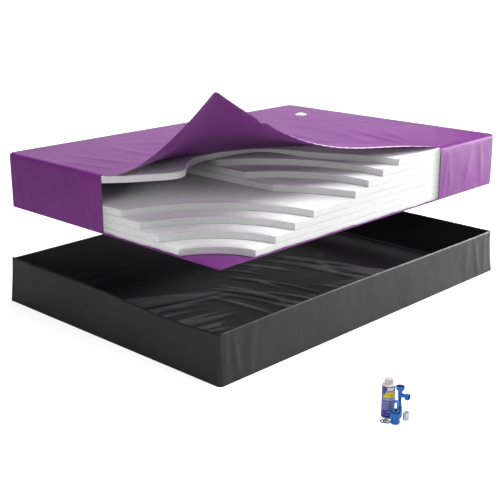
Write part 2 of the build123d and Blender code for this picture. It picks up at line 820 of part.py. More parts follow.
# One spare hose washer lies flat, and the other leans on it.
lean = radians(loose_washer_tilt)
away = radians(kit_turn + leaning_washer_turn)
flat_washer = kit_plane(flat_washer_place)
lean_axis = Vector(cos(away), sin(away), 0)
lean_rise = (loose_washer + soft_gap) * sin(lean)
leaning_washer = Plane(
    origin=flat_washer.origin + lean_axis * leaning_washer_step + Vector(0, 0, lean_rise),
    x_dir=(cos(away) * cos(lean), sin(away) * cos(lean), -sin(lean)),
    z_dir=(cos(away) * sin(lean), sin(away) * sin(lean), cos(lean)),
)
for name, place in {"flat": flat_washer, "leaning": leaning_washer}.items():
    with BuildPart() as hose_washer:
        with BuildSketch(place):
            Circle(loose_washer)
            Circle(loose_washer_hole, mode=Mode.SUBTRACT)
        extrude(amount=washer_thickness)
    save(hose_washer.part, f"hose_washer_{name}")
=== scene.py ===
"""The look of the waterbed: vinyl cover with its peeled corner, fibre sheets, liner film and fill kit.

Every piece is in metres in the part's own frame. Soft pieces are parametric surfaces: a table of points over
two shares (u along the piece, v across it), which numpy fills by formula and grid() turns into a mesh.
"""

import math

import bpy
import numpy as np
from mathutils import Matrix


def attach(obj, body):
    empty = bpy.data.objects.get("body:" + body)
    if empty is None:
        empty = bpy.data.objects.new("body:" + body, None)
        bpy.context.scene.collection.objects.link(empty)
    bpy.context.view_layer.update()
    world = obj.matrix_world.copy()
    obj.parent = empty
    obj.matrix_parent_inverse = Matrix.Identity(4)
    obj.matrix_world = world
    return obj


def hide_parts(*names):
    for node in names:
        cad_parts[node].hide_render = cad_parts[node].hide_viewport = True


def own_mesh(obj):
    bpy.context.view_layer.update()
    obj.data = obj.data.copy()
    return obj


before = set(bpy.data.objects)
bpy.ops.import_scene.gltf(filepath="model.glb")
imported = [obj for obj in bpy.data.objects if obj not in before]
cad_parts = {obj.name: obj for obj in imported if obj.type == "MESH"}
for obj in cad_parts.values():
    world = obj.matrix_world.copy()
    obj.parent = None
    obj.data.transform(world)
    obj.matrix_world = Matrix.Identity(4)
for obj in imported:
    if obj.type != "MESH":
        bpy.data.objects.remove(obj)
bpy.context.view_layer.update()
rng = np.random.default_rng(7)

# Sizes in metres, as in the part's source
HALF_X, HALF_Y = 0.734, 1.039
BOTTOM, TOP = 0.495, 0.765
FILM = 0.002
EDGE, CORNER = 0.016, 0.032
CUT_X, CUT_Y = 0.0, 0.520
TIP = np.array([0.576, -0.896])
RISE = 0.412
SHEET = 0.03325
SOFT_GAP = 0.0003
STEP_ACROSS, STEP_ALONG, STEP_PITCH, STEP_SAG = 0.243, 0.214, 0.122, 0.66
LINER_X, LINER_Y, LINER_H = 0.762, 1.067, 0.230
LEAN, LINER_CORNER = 0.019, 0.020


# Materials


def material(name, colour, roughness, **sockets):
    """A Principled material. Constant values sit on the shader's own sockets."""
    m = bpy.data.materials.new(name)
    m.use_nodes = True
    shader = m.node_tree.nodes["Principled BSDF"]
    shader.inputs["Base Color"].default_value = (*colour, 1)
    shader.inputs["Roughness"].default_value = roughness
    for key, value in sockets.items():
        shader.inputs[key.replace("_", " ")].default_value = value
    return m


def node(m, kind, **settings):
    """Adds a shader node and sets its inputs, or its own properties where it has no such input."""
    n = m.node_tree.nodes.new("ShaderNode" + kind)
    for key, value in settings.items():
        name = key.replace("_", " ")
        if name in n.inputs:
            n.inputs[name].default_value = value
        else:
            setattr(n, key, value)
    return n


def link(m, a, b):
    """Joins output a to input b."""
    m.node_tree.links.new(a, b)


def shader_of(m):
    """The material's Principled shader."""
    return m.node_tree.nodes["Principled BSDF"]


def place(m, scale=(1, 1, 1)):
    """Object coordinates, stretched by scale."""
    coords = node(m, "TexCoord")
    mapping = node(m, "Mapping", Scale=scale)
    link(m, coords.outputs["Object"], mapping.inputs["Vector"])
    return mapping.outputs["Vector"]


def noise(m, scale, detail=3.0, stretch=(1, 1, 1), rough=0.55):
    """Noise in object coordinates, with so many cells a metre."""
    n = node(m, "TexNoise", Scale=scale, Detail=detail, Roughness=rough)
    link(m, place(m, stretch), n.inputs["Vector"])
    return n.outputs["Fac"]


def tint(m, fac, low, high, start=0.3, stop=0.7):
    """Base colour from a factor, between two colours."""
    ramp = node(m, "ValToRGB")
    ramp.color_ramp.elements[0].position = start
    ramp.color_ramp.elements[1].position = stop
    ramp.color_ramp.elements[0].color = (*low, 1)
    ramp.color_ramp.elements[1].color = (*high, 1)
    link(m, fac, ramp.inputs["Fac"])
    link(m, ramp.outputs["Color"], shader_of(m).inputs["Base Color"])


def gloss(m, fac, low, high):
    """Roughness from a factor."""
    span = node(m, "MapRange", To_Min=low, To_Max=high)
    link(m, fac, span.inputs["Value"])
    link(m, span.outputs["Result"], shader_of(m).inputs["Roughness"])


def paint(m, mask, colour, blend="MIX"):
    """Lays a colour over the base colour by a mask that runs from 0 to 1."""
    over = node(m, "Mix", data_type="RGBA", blend_type=blend)
    link(m, mask, over.inputs[0])
    link(m, shader_of(m).inputs["Base Color"].links[0].from_socket, over.inputs[6])
    over.inputs[7].default_value = (*colour, 1)
    link(m, over.outputs[2], shader_of(m).inputs["Base Color"])


def share_of(m, label):
    """A share that a piece stores at its points."""
    return node(m, "Attribute", attribute_name=label).outputs["Fac"]


def bump(m, *layers):
    """Stacks bump layers of (height, distance in metres, strength)."""
    last = None
    for height, distance, strength in layers:
        b = node(m, "Bump", Distance=distance, Strength=strength)
        link(m, height, b.inputs["Height"])
        if last:
            link(m, last, b.inputs["Normal"])
        last = b.outputs["Normal"]
    link(m, last, shader_of(m).inputs["Normal"])


def vinyl(name, low, high, roughness=(0.38, 0.5), shine=0.7):
    """Soft plastic film: cloudy colour, fine leathery grain and slow ripples."""
    m = material(name, high, roughness[0])
    shader_of(m).inputs["Specular IOR Level"].default_value = shine
    tint(m, noise(m, 3.0, 4), low, high)
    gloss(m, noise(m, 7.0, 3), *roughness)
    bump(m, (noise(m, 6.0, 3), 0.02, 0.25), (noise(m, 900.0, 2), 0.0004, 0.25))
    return m


def plastic(name, colour, shade, roughness=(0.25, 0.4), grain=600.0):
    """Moulded plastic with faint mottling."""
    m = material(name, colour, roughness[0])
    tint(m, noise(m, 120.0, 3), shade, colour)
    gloss(m, noise(m, 200.0, 2), *roughness)
    bump(m, (noise(m, grain, 2), 0.0003, 0.15))
    return m


PURPLE = vinyl("vinyl_purple", (0.172, 0.026, 0.200), (0.200, 0.032, 0.233), shine=0.27)
# Painted shade: a share stored on the cover darkens the peeled corner's left part, which faces away from the
# lamps
paint(PURPLE, share_of(PURPLE, "inner"), (0.05, 0.007, 0.06))
# Painted highlight: a light line along the peeled corner's rolled right edge
paint(PURPLE, share_of(PURPLE, "edge_strip_and_painted_highlight"), (0.88, 0.66, 0.92))
FLOOR_FILM = vinyl("film_floor", (0.022, 0.022, 0.023), (0.031, 0.031, 0.032), (0.42, 0.52), 0.15)
shader_of(FLOOR_FILM).inputs["IOR"].default_value = 1.25
# Painted light: a share stored on the floor film lightens its fold crests as painted highlights, and some
# zones as painted light
paint(FLOOR_FILM, share_of(FLOOR_FILM, "crest"), (0.215, 0.228, 0.215))
BLACK_FILM = vinyl("film_black", (0.012, 0.012, 0.013), (0.019, 0.019, 0.020), (0.34, 0.48), 0.37)

FIBRE = material("fibre_wadding", (0.90, 0.90, 0.90), 0.95)
shader_of(FIBRE).inputs["Sheen Weight"].default_value = 0.25
shader_of(FIBRE).inputs["Specular IOR Level"].default_value = 0.1
tint(FIBRE, noise(FIBRE, 60.0, 6, (1, 1, 2.2), 0.7), (0.82, 0.82, 0.82), (0.92, 0.92, 0.92), 0.32, 0.62)
# Painted shade: a share stored on the fibre sheets multiplies them towards grey, on their fronts, on parts of
# their tops and on their outside faces
paint(FIBRE, share_of(FIBRE, "fibre_painted_shade"), (0.25, 0.25, 0.255), "MULTIPLY")
bump(
    FIBRE,
    (noise(FIBRE, 9.0, 3), 0.006, 0.35),
    (noise(FIBRE, 130.0, 6, (1, 1, 2.6), 0.75), 0.003, 0.45),
    (noise(FIBRE, 700.0, 3, (1, 1, 3), 0.7), 0.0008, 0.4),
)

BLUE = plastic("plastic_blue", (0.020, 0.185, 0.56), (0.014, 0.140, 0.47))
WHITE = plastic("plastic_white", (0.88, 0.88, 0.88), (0.83, 0.83, 0.835))
CREAM = plastic("plastic_cream", (0.66, 0.63, 0.58), (0.60, 0.57, 0.52))
BOTTLE = plastic("plastic_bottle", (0.70, 0.69, 0.67), (0.64, 0.63, 0.61), (0.35, 0.45))
RUBBER = plastic("rubber_black", (0.018, 0.018, 0.018), (0.010, 0.010, 0.010), (0.5, 0.7), 1500.0)
FOIL = plastic("foil_seal", (0.62, 0.62, 0.63), (0.55, 0.55, 0.56), (0.2, 0.35))
shader_of(FOIL).inputs["Metallic"].default_value = 0.9
FOAM = plastic("foam_disc", (0.80, 0.80, 0.77), (0.72, 0.72, 0.69), (0.8, 0.95), 1200.0)


# Meshes


def store(obj, label, values):
    """Stores a share at each point of a piece, for its material."""
    data = obj.data.attributes.new(label, "FLOAT", "POINT").data
    data.foreach_set("value", np.asarray(values).ravel().astype(np.float32))


def finish_piece(obj, mat, body):
    """Gives a piece its material, smooth shading and body."""
    obj.data.materials.append(mat)
    for p in obj.data.polygons:
        p.use_smooth = True
    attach(obj, body)
    return obj


def mesh(name, points, faces, mat, body):
    """A piece from points and faces."""
    data = bpy.data.meshes.new(name)
    data.from_pydata(np.asarray(points).reshape(-1, 3).tolist(), [], faces)
    data.update()
    obj = bpy.data.objects.new(name, data)
    bpy.context.collection.objects.link(obj)
    return finish_piece(obj, mat, body)


def quads(rows, cols, wrap_rows=False, wrap_cols=False, flip=False):
    """Faces between neighbours of a rows by cols table of points."""
    r = np.arange(rows if wrap_rows else rows - 1)[:, None]
    c = np.arange(cols if wrap_cols else cols - 1)[None, :]
    r2, c2 = (r + 1) % rows, (c + 1) % cols
    f = np.stack([r * cols + c, r * cols + c2, r2 * cols + c2, r2 * cols + c], -1).reshape(-1, 4)
    return (f[:, ::-1] if flip else f).tolist()


def grid(name, table, mat, body, slot, **wraps):
    """A piece from a table of points."""
    rows, cols = table.shape[:2]
    return mesh(name, table, quads(rows, cols, **wraps), mat, body)


def bezier(controls, t):
    """Points of a Bezier curve at shares t."""
    controls = np.asarray(controls, float)
    n = len(controls) - 1
    t = np.asarray(t)[..., None]
    return sum(math.comb(n, i) * (1 - t) ** (n - i) * t**i * controls[i] for i in range(n + 1))


def resample(points, count=None, step=None):
    """Even spacing along a polyline, and the share of the length at each new point."""
    d = np.r_[0, np.cumsum(np.linalg.norm(np.diff(points, axis=0), axis=1))]
    n = count or max(2, int(round(d[-1] / step)) + 1)
    s = np.linspace(0, d[-1], n)
    return np.stack([np.interp(s, d, points[:, i]) for i in range(points.shape[1])], 1), s / d[-1]


def rim_path(half_x, half_y, corner, start, end, turn=8, step=0.011):
    """The path along a rounded rectangle from start on its foot side, clockwise seen from above by the left,
    head and right sides to end on its right side. Gives points, outward normals and lengths along it."""
    cx, cy = half_x - corner, half_y - corner
    points, normals = [], []

    def run(a, b, normal):
        n = max(2, int(math.hypot(b[0] - a[0], b[1] - a[1]) / step))
        for t in np.linspace(0, 1, n, endpoint=False):
            points.append((a[0] + t * (b[0] - a[0]), a[1] + t * (b[1] - a[1])))
            normals.append(normal)

    def bend(x, y, first):
        for a in np.radians(first - np.linspace(0, 90, turn, endpoint=False)):
            points.append((x + corner * math.cos(a), y + corner * math.sin(a)))
            normals.append((math.cos(a), math.sin(a)))

    if start[1] < -cy:
        run(start, (-cx, -half_y), (0, -1))
        bend(-cx, -cy, -90)
        run((-half_x, -cy), (-half_x, cy), (-1, 0))
    else:
        run(start, (-half_x, cy), (-1, 0))
    bend(-cx, cy, 180)
    run((-cx, half_y), (cx, half_y), (0, 1))
    bend(cx, cy, 90)
    run((half_x, cy), end, (1, 0))
    points.append(end)
    normals.append((1, 0))
    points, normals = np.array(points), np.array(normals)
    length = np.r_[0, np.cumsum(np.linalg.norm(np.diff(points, axis=0), axis=1))]
    return points, normals, length


def bell(x):
    """A smooth bump one high, at 0."""
    return np.exp(-0.5 * x * x)


def ridge(x, y, a, b, width, height, curve=0.0):
    """A soft fold from point a to point b: a bell across its line, fading in and out along it."""
    a, b = np.array(a), np.array(b)
    d = b - a
    length = np.linalg.norm(d)
    d = d / length
    along = ((x - a[0]) * d[0] + (y - a[1]) * d[1]) / length
    across = -(x - a[0]) * d[1] + (y - a[1]) * d[0] - curve * np.sin(math.pi * np.clip(along, 0, 1))
    fade = np.clip(np.sin(math.pi * np.clip(along, 0, 1)), 0, 1) ** 0.8
    return height * fade * bell(across / width)


# The mattress cover

ROLLED_EDGE_WAVES = 170
PEEL_LINE = [
    (0.0, EDGE - HALF_Y), (-0.15 * HALF_X, -0.48 * HALF_Y),
    (-0.055 * HALF_X, 0.058 * HALF_Y), (HALF_X - EDGE, CUT_Y),
]
SPAN = CUT_Y - TIP[1]
PEEL_RIGHT = [
    (HALF_X - EDGE, CUT_Y, 0),
    (0.95 * HALF_X, CUT_Y - 0.437 * SPAN, 0.317 * RISE),
    (0.615 * HALF_X, CUT_Y - 0.3685 * SPAN, -0.172 * RISE),
    (0.7045 * HALF_X, CUT_Y - 0.791 * SPAN, 0.606 * RISE),
    (TIP[0], TIP[1], RISE),
]


def peel(s, w):
    """The peeled corner. Share s runs from the line where it leaves the sheets to the tip, and w from its
    left edge to its right. Left edge: x grows evenly, y with s squared, z with a power of s. Right edge: a
    Bezier curve. Between them a straight line, plus a sag out to the peel line that dies away towards the
    tip, plus a crown. The right edge has a small notch and is rolled under with a ripple."""
    out = 1 - np.exp(-s / 0.02)
    left = np.stack([
        s * TIP[0],
        PEEL_LINE[0][1] + s * s * (TIP[1] - PEEL_LINE[0][1]) - EDGE * (1 - s * s) * out,
        RISE * s**1.87,
    ], -1)
    right = bezier(PEEL_RIGHT, s)
    notch = 0.010 * bell((s - 0.778) / 0.011) - 0.006 * bell((s - 0.750) / 0.011)
    right[..., 0] += EDGE * (1 - s) ** 4 * out
    first = (1 - w)[..., None] * np.array(PEEL_LINE[0]) + w[..., None] * np.array(PEEL_LINE[3])
    slack = (bezier(PEEL_LINE, w) - first) * ((1 - s) ** 1.5)[..., None]
    p = left * (1 - w)[..., None] + right * w[..., None]
    p[..., :2] += slack
    p[..., 2] += TOP + RISE * (s**1.1 - s**1.85) * np.sin(math.pi * w) ** 2
    p[..., 2] -= notch * np.exp(-(1 - w) / 0.05)
    rolled = np.clip((w - 0.990) / 0.010, 0, 1) ** 2 * np.sin(math.pi * np.clip(s / 0.85, 0, 1)) ** 0.5
    p[..., 2] -= rolled * (0.0050 + 0.0010 * np.sin(ROLLED_EDGE_WAVES * s))
    return p


def top_folds(x, y):
    """Soft creases on the mattress top, raised a few millimetres."""
    z = np.zeros_like(x)
    for a, b, width, height, curve in [
        ((0.60, 0.47), (0.05, 0.63), 0.010, 0.0050, 0.02),
        ((0.62, 0.50), (0.15, 0.78), 0.010, 0.0045, 0.02),
        ((0.45, 0.36), (-0.20, 0.52), 0.018, 0.0035, -0.03),
        ((0.30, 0.25), (-0.35, 0.36), 0.016, 0.0030, 0.03),
        ((0.20, 0.14), (-0.45, 0.10), 0.020, 0.0030, 0.03),
        ((-0.05, -0.55), (-0.55, -0.60), 0.022, 0.0035, 0.04),
        ((-0.04, -0.75), (-0.50, -0.86), 0.020, 0.0035, 0.03),
        ((-0.03, -0.90), (-0.40, -0.98), 0.016, 0.0030, 0.01),
        ((0.66, 0.56), (0.40, 0.95), 0.015, 0.0030, -0.02),
        ((-0.60, -0.70), (-0.15, -0.20), 0.030, 0.0025, 0.05),
        ((-0.62, 0.10), (-0.20, 0.55), 0.030, 0.0020, -0.04),
        ((0.10, 0.95), (-0.30, 0.70), 0.025, 0.0020, 0.03),
    ]:
        z += ridge(x, y, a, b, width, height, curve)
    for kx, ky, phase, height in [(7, 3, 0.4, 0.0010), (3, 8, 1.7, 0.0010), (11, -6, 2.9, 0.0006)]:
        z += height * np.sin(kx * x + ky * y + phase)
    return z


cols_xy, cols_n, cols_len = rim_path(
    HALF_X - EDGE, HALF_Y - EDGE, CORNER - EDGE, (CUT_X, EDGE - HALF_Y), (HALF_X - EDGE, CUT_Y)
)
shares = cols_len / cols_len[-1]
inner = bezier(PEEL_LINE, shares)

rows, flap_painted_shade, edge_painted_highlight = [], [], []
for s in np.linspace(0.985, 0, 108, endpoint=False):
    rows.append(peel(np.full_like(shares, s), shares))
    # Painted shade on the peeled corner's left part, strongest at its left edge and fading out by the line
    # where it leaves the sheets
    flap_painted_shade.append(0.42 * np.exp(-((shares / 0.24) ** 2)) * min(s / 0.12, 1))
    # Painted highlight along the peeled corner's right edge, fading out towards the tip, with a ripple
    at_edge = np.clip((shares - 0.9925) / 0.003, 0, 1)
    edge_painted_highlight.append(at_edge * np.clip(3 - 4 * s, 0, 1) * (0.84 + 0.16 * np.sin(ROLLED_EDGE_WAVES * s)))
for v in np.linspace(0, 1, 64):
    xy = inner + (cols_xy - inner) * v
    away = np.clip(v * np.linalg.norm(cols_xy - inner, axis=1) / 0.05, 0, 1) * np.clip((1 - v) * 12, 0, 1)
    rows.append(np.c_[xy, TOP + top_folds(xy[:, 0], xy[:, 1]) * away])


def side_folds(length, down):
    """How far the side band stands out: a soft belly, slack at the corners and a few slanting creases."""
    span = TOP - BOTTOM
    share = np.clip(down / span, 0, 1)
    total = cols_len[-1]
    out = 0.0014 * np.sin(math.pi * share) * (0.4 + 0.6 * np.sin(length * 4.1 + 0.8))
    for at, tilt, width, height, low in [
        (0.05, 0.20, 0.010, 0.0030, 0.35), (0.13, -0.35, 0.012, 0.0025, 0.3),
        (0.30, 0.4, 0.018, 0.0018, 0.5),
        (0.66, -0.15, 0.012, 0.0030, 0.5), (0.75, 0.10, 0.014, 0.0035, 0.5),
        (0.86, 0.25, 0.016, 0.0020, 0.4),
        (1.6, 0.3, 0.02, 0.0020, 0.5), (2.3, -0.3, 0.02, 0.0020, 0.5), (2.72, 0.12, 0.013, 0.0030, 0.5),
        (2.86, -0.12, 0.013, 0.0030, 0.5), (3.5, 0.3, 0.02, 0.0020, 0.5), (4.0, -0.25, 0.02, 0.0020, 0.5),
        (4.17, 0.10, 0.012, 0.0032, 0.5), (4.30, -0.15, 0.013, 0.0035, 0.5), (4.42, 0.22, 0.016, 0.0028, 0.45),
        (4.60, -0.12, 0.012, 0.0024, 0.4), (total - 0.05, 0.1, 0.010, 0.0025, 0.5),
    ]:
        across = length - at - tilt * (down - span * low)
        out = out + height * bell(across / width) * np.sin(math.pi * np.clip(share, 0, 1)) ** 0.7
    return out


for angle in np.radians(np.linspace(0, 90, 8)[1:]):
    xy = cols_xy + cols_n * EDGE * math.sin(angle)
    rows.append(np.c_[xy, np.full(len(xy), TOP - EDGE * (1 - math.cos(angle)))])
for z in np.linspace(TOP - EDGE, BOTTOM + 0.0015, 24)[1:]:
    out = EDGE + side_folds(cols_len, np.full_like(cols_len, TOP - z))
    rows.append(np.c_[cols_xy + cols_n * out[:, None], np.full(len(cols_xy), z)])

cover = grid("mattress_cover", np.array(rows), PURPLE, "mattress", "mattress_vinyl")
for label, values in [("inner", flap_painted_shade), ("edge_strip_and_painted_highlight", edge_painted_highlight)]:
    values += [np.zeros_like(shares)] * (len(rows) - len(values))
    store(cover, label, np.concatenate(values))
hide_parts("vinyl_top")
for side in ("left", "right", "foot", "head", "foot_left", "head_left", "head_right"):
    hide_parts(f"side_band_{side}", f"top_edge_{side}")


# The bottom panel and the strip left at the cut


def rounded_area(half_x, half_y, corner, across, along, sharp=False):
    """A table of points that fills a rounded rectangle: a rectangle's table pulled in at the corners. With
    sharp, the near corner at the foot's right keeps its point."""
    u, v = np.meshgrid(np.linspace(-1, 1, across), np.linspace(-1, 1, along))
    x, y = u * half_x, v * half_y
    dx, dy = np.abs(x) - (half_x - corner), np.abs(y) - (half_y - corner)
    both = (dx > 0) & (dy > 0)
    reach = np.where(both, np.maximum(dx, dy) / np.maximum(np.hypot(dx, dy), 1e-9), 1.0)
    if sharp:
        both &= ~((x > 0) & (y < 0))
    x = np.where(both, np.sign(x) * (half_x - corner + dx * reach), x)
    y = np.where(both, np.sign(y) * (half_y - corner + dy * reach), y)
    return x, y


x, y = rounded_area(HALF_X, HALF_Y, CORNER, 120, 170, sharp=True)
panel = np.stack([x, y, np.full_like(x, BOTTOM + 0.0006 + 0.5 * FILM)], -1)
bottom = grid("mattress_bottom", panel, PURPLE, "mattress", "mattress_vinyl")
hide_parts("vinyl_bottom")

strip_path = [
    (CUT_X - 0.01, -HALF_Y), (HALF_X - 0.004, -HALF_Y), (HALF_X, -HALF_Y + 0.004), (HALF_X, CUT_Y + 0.01),
]
strip, strip_share = resample(np.array(strip_path), step=0.006)
tangent = np.gradient(strip, axis=0)
tangent /= np.linalg.norm(tangent, axis=1)[:, None]
outward = np.stack([tangent[:, 1], -tangent[:, 0]], 1)
length = strip_share * 2.3
strip_height = 0.0085 + 0.0012 * np.sin(length * 17 + 1) + 0.0008 * np.sin(length * 41)
strip_height += 0.0005 * np.sin(length * 83 + 2)
sway = 0.0008 * np.sin(length * 23) + 0.0005 * np.sin(length * 61 + 1)
rows = []
for v in np.linspace(0, 1, 7):
    out = 0.0004 + (0.0016 + sway) * v**1.5
    rows.append(np.c_[strip + outward * out[:, None], BOTTOM + 0.0012 + strip_height * v])
edge_strip_and_painted_highlight = grid("cut_strip", np.array(rows), PURPLE, "mattress", "mattress_vinyl")


# The fibre sheets

INSET = FILM + SOFT_GAP
SX, SY = HALF_X - INSET, HALF_Y - INSET
FLOOR_1 = BOTTOM + FILM
# How dark a full share of painted shade makes the fibre
PAINTED_SHADE_SCALE = 0.587


def slab(
    name, front, back_start, back_end, z0, z1, lift=None, seed=0.0, back_round=0.0013, thin=None, front_painted_shade=0.66,
    deep=(0.0, 1.0),
):
    """One fibre sheet between its front line and the outside path of the bed. The section through it is a
    loop: over the top from front to back, down the outside, back along the underside and up the front, with
    the edges rounded over. Share u follows both lines at once. lift raises the sheet and thin its underside.
    Its front is darkened by painted shade, by a share or a function of the front's points; deep says how much
    painted shade darkens its top, and over how many metres behind the front. Its outside faces get painted
    shade too, deepest beside the cover's right cut."""
    back, normal, length = rim_path(SX, SY, CORNER - INSET, back_start, back_end, step=0.016)
    share = length / length[-1]
    d = np.r_[0, np.cumsum(np.linalg.norm(np.diff(front, axis=0), axis=1))]
    edge = np.stack([np.interp(share * d[-1], d, front[:, i]) for i in (0, 1)], 1)
    gap = back - edge
    far = np.linalg.norm(gap, axis=1)
    way = gap / np.maximum(far, 1e-6)[:, None]
    slope = np.gradient(edge, axis=0)
    slope /= np.maximum(np.linalg.norm(slope, axis=1), 1e-9)[:, None]
    inward = np.stack([-slope[:, 1], slope[:, 0]], 1)
    inward *= np.where((inward * way).sum(1) < 0, -1, 1)[:, None]
    h = z1 - z0
    front_round, low_round = 0.0028, 0.0013
    own = share * d[-1]
    fuzz = 0.0007 * np.sin(own * 31 + seed) + 0.0005 * np.sin(own * 77 + 2 * seed)
    rows, painted_shades = [], []

    if callable(front_painted_shade):
        front_painted_shade = front_painted_shade(edge[:, 0], edge[:, 1])
    # Painted shade on the outside faces: a little on the foot, left and head sides, more near x = 0 and on the
    # right side, and a painted shadow on the right side over the last 80 mm before the cover's cut
    side_painted_shade = np.where(back[:, 0] > 0.72, 0.36, 0.14 + 0.46 * np.clip(1 - np.abs(back[:, 0]) / 0.09, 0, 1))
    near_cut = (back[:, 0] > 0) & (back[:, 1] < CUT_Y + 0.02)
    side_painted_shade += 1.34 * np.clip(1 - (CUT_Y - back[:, 1]) / 0.080, 0, 1) ** 1.2 * near_cut

    def add(xy, z, shade=0.0):
        painted_shades.append(np.full(len(xy), shade) if np.isscalar(shade) else shade)
        low = (z1 - z) / h
        z = np.full(len(xy), z)
        if lift is not None:
            z = z + lift(xy[:, 0], xy[:, 1])
        if thin is not None:
            z = z + low * thin(xy[:, 0], xy[:, 1])
        rows.append(np.c_[xy, z])

    def front_at(depth, z):
        depth = np.minimum(depth, 0.4 * far)
        ragged = np.clip(fuzz, -0.001, 0.001) * np.clip(far / 0.05, 0, 1)
        add(edge + inward * (depth + ragged)[:, None], z, front_painted_shade)

    def back_at(depth, z):
        add(back - normal * np.minimum(depth, 0.4 * far)[:, None], z, side_painted_shade)

    def rounded_over(xy):
        """How far the top lies below its full height beside the outside, where the edge is rounded over."""
        x, y, r = np.abs(xy[:, 0]), np.abs(xy[:, 1]), CORNER - INSET
        bend = np.hypot(np.maximum(x - SX + r, 0), np.maximum(y - SY + r, 0))
        depth = np.where((x > SX - r) & (y > SY - r), r - bend, np.minimum(SX - x, SY - y))
        into = back_round - np.clip(depth, 0, back_round)
        return back_round - np.sqrt(back_round**2 - into**2)

    quarter = np.radians([0, 30, 60, 90])
    for a in quarter:
        front_at(front_round * (1 - math.cos(a)), z1 - front_round * (1 - math.sin(a)))
    for v in np.linspace(0, 1, 34)[1:-1]:
        inside = edge + gap * v
        # Painted shade on the top, growing over the given metres behind the front
        add(inside, z1 - rounded_over(inside), deep[0] * np.clip(v * far / deep[1], 0, 1))
    for a in quarter[::-1]:
        back_at(back_round * (1 - math.cos(a)), z1 - back_round * (1 - math.sin(a)))
    for t in (0.25, 0.5, 0.75):
        back_at(0.0004 * (1 - math.sin(math.pi * t)), z1 - back_round - (h - back_round - low_round) * t)
    for a in quarter:
        back_at(low_round * (1 - math.cos(a)), z0 + low_round * (1 - math.sin(a)))
    for v in np.linspace(1, 0, 14)[1:-1]:
        add(edge + gap * v, z0)
    for a in quarter[::-1]:
        front_at(front_round * (1 - math.cos(a)), z0 + front_round * (1 - math.sin(a)))
    for t in (0.25, 0.5, 0.75):
        front_at(0.0, z0 + front_round + (h - 2 * front_round) * t)
    obj = grid(name, np.array(rows), FIBRE, "mattress", "fibre", wrap_rows=True)
    store(obj, "fibre_painted_shade", PAINTED_SHADE_SCALE * np.concatenate(painted_shades))
    return obj


def arc_through(a, b, c, n=40):
    """Points of the circle arc through three points."""
    ax, ay = a
    bx, by = b
    cx, cy = c
    d = 2 * (ax * (by - cy) + bx * (cy - ay) + cx * (ay - by))
    ux = ((ax**2 + ay**2) * (by - cy) + (bx**2 + by**2) * (cy - ay) + (cx**2 + cy**2) * (ay - by)) / d
    uy = ((ax**2 + ay**2) * (cx - bx) + (bx**2 + by**2) * (ax - cx) + (cx**2 + cy**2) * (bx - ax)) / d
    start = math.atan2(ay - uy, ax - ux)
    sweep = (math.atan2(cy - uy, cx - ux) - start + math.pi) % (2 * math.pi) - math.pi
    r = math.hypot(ax - ux, ay - uy)
    t = start + sweep * np.linspace(0, 1, n)
    return np.stack([ux + r * np.cos(t), uy + r * np.sin(t)], 1)


def clip_to_bed(points):
    """Keeps a front line within the sheets' outside."""
    return np.stack([np.clip(points[:, 0], -SX, SX), np.clip(points[:, 1], -SY, SY)], 1)


for k in range(4):
    step_x, step_y = STEP_ACROSS + STEP_PITCH * k, STEP_ALONG + STEP_PITCH * k
    middle = (HALF_X - STEP_SAG * step_x, STEP_SAG * step_y - HALF_Y)
    line = arc_through((HALF_X - step_x, -HALF_Y), middle, (HALF_X, step_y - HALF_Y))
    line = clip_to_bed(line)
    z = FLOOR_1 + k * SHEET
    # Painted shade on every step's front, and on the fourth sheet's top where it runs in under the sheets
    # above
    obj = slab(
        f"fibre_{k + 1}", line, (line[0][0], -SY), (SX, line[-1][1]), z + SOFT_GAP, z + SHEET - SOFT_GAP,
        seed=k, deep=(1.0, 0.40) if k == 3 else (0.0, 1.0),
    )
    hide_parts(f"fibre_sheet_{k + 1}")

WALL = -0.336
# Each lumbar sheet's front: where it leaves the wall, the point it passes and where it meets the right side,
# as shares of the half width and the half length
LUMBAR = [(0.505, 0.74, -0.225, -0.159), (0.265, 0.613, -0.106, -0.066), (0.02, 0.49, -0.019, 0.038)]


def wall_shade(x, y):
    """Painted shade for the lumbar sheets' fronts: full on the block's wall towards the foot, a little less on
    their curved fronts.
    """
    return np.where(y < WALL + 0.004, 1.0, 0.72)


for k, (reach, mx, my, ey) in enumerate(LUMBAR):
    start = (reach * HALF_X, WALL)
    line = arc_through(start, (mx * HALF_X, my * HALF_Y), (HALF_X, ey * HALF_Y))
    wall = np.stack([np.linspace(-SX, start[0], 60, endpoint=False), np.full(60, WALL)], 1)
    line = clip_to_bed(np.r_[wall, line])
    z = FLOOR_1 + (4 + k) * SHEET
    # Painted shade on the lumbar sheets' fronts and wall, and on their tops just behind the fronts
    obj = slab(
        f"fibre_{k + 5}", line, (-SX, WALL), (SX, line[-1][1]), z + SOFT_GAP, z + SHEET - SOFT_GAP,
        seed=4 + k, front_painted_shade=wall_shade, deep=(0.8, 0.12),
    )
    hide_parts(f"fibre_sheet_{k + 5}")

TOP_EDGE = np.array([
    (0.0, -1.0), (0.084, -0.92), (0.165, -0.81), (0.222, -0.715), (0.19, -0.64), (0.075, -0.555),
    (0.005, -0.44), (0.01, -0.29), (0.11, -0.12), (0.3, -0.02), (0.55, 0.05), (0.8, 0.12), (1.0, 0.155),
]) * (HALF_X, HALF_Y)


def spline(points, per=12):
    """A smooth line through points: a Catmull-Rom spline."""
    p = np.r_[[2 * points[0] - points[1]], points, [2 * points[-1] - points[-2]]]
    t = np.linspace(0, 1, per, endpoint=False)[:, None]
    out = []
    for a, b, c, d in zip(p, p[1:], p[2:], p[3:]):
        cubic = (3 * b - a - 3 * c + d) * t**3
        out.append(0.5 * (2 * b + (c - a) * t + (2 * a - 5 * b + 4 * c - d) * t**2 + cubic))
    return np.r_[np.concatenate(out), [points[-1]]]


